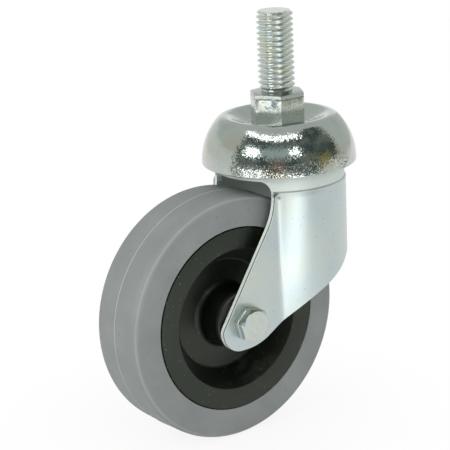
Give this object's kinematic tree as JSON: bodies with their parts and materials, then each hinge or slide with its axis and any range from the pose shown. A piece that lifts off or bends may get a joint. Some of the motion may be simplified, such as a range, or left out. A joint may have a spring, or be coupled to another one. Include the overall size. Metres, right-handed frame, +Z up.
{
  "type": "swivel castor",
  "caption": "Swivel castor with a threaded stem over a hexagon, a domed ball race head, a pressed offset fork and a rubber tyred wheel on a bolt axle.",
  "frame": {"origin": "on the swivel axis, at the seat face on top of the stem's hexagon", "axes": "+Z up the threaded stem; the wheel trails towards -X and its axle lies along Y, with the bolt head on the -Y side"},
  "size_m": [0.0925, 0.0538, 0.1342],
  "materials": {
    "stem_zinc": "bright zinc plate over cold-headed steel",
    "dome_zinc": "bright zinc plate over polished pressed sheet",
    "fork_zinc": "satin zinc plate over drawn sheet",
    "hardware_zinc": "zinc plate",
    "ball_steel": "ground and greased",
    "seal_rubber": "moulded",
    "nylon_natural": "moulded",
    "nylon_black": "moulded",
    "polypropylene_black": "moulded, faint sheen",
    "rubber_grey": "moulded non-marking rubber"
  },
  "bodies": {
    "head": {"stem": "stem_zinc", "dome_cup": "dome_zinc", "dust_seal": "seal_rubber", "lower_cup": "hardware_zinc", "rivet_washer": "hardware_zinc"},
    "swivel": {"fork": "fork_zinc", "upper_balls": "ball_steel", "lower_balls": "ball_steel", "axle_bolt": "hardware_zinc", "axle_sleeve": "hardware_zinc", "nut_washer": "hardware_zinc", "axle_nut": "hardware_zinc", "nut_insert": "nylon_natural", "thrust_washer_bolt_side": "hardware_zinc", "thrust_washer_nut_side": "hardware_zinc"},
    "wheel": {"wheel_centre": "polypropylene_black", "tyre": "rubber_grey", "bush_bolt_side": "nylon_black", "bush_nut_side": "nylon_black"}
  },
  "joints": [
    {"name": "swivel_turn", "type": "hinge", "parent": "head", "child": "swivel", "pos_m": [0, 0, 0], "axis": [0, 0, 1], "continuous": true},
    {"name": "wheel_spin", "type": "hinge", "parent": "swivel", "child": "wheel", "pos_m": [-0.0275, 0, -0.068], "axis": [0, 1, 0], "continuous": true}
  ]
}
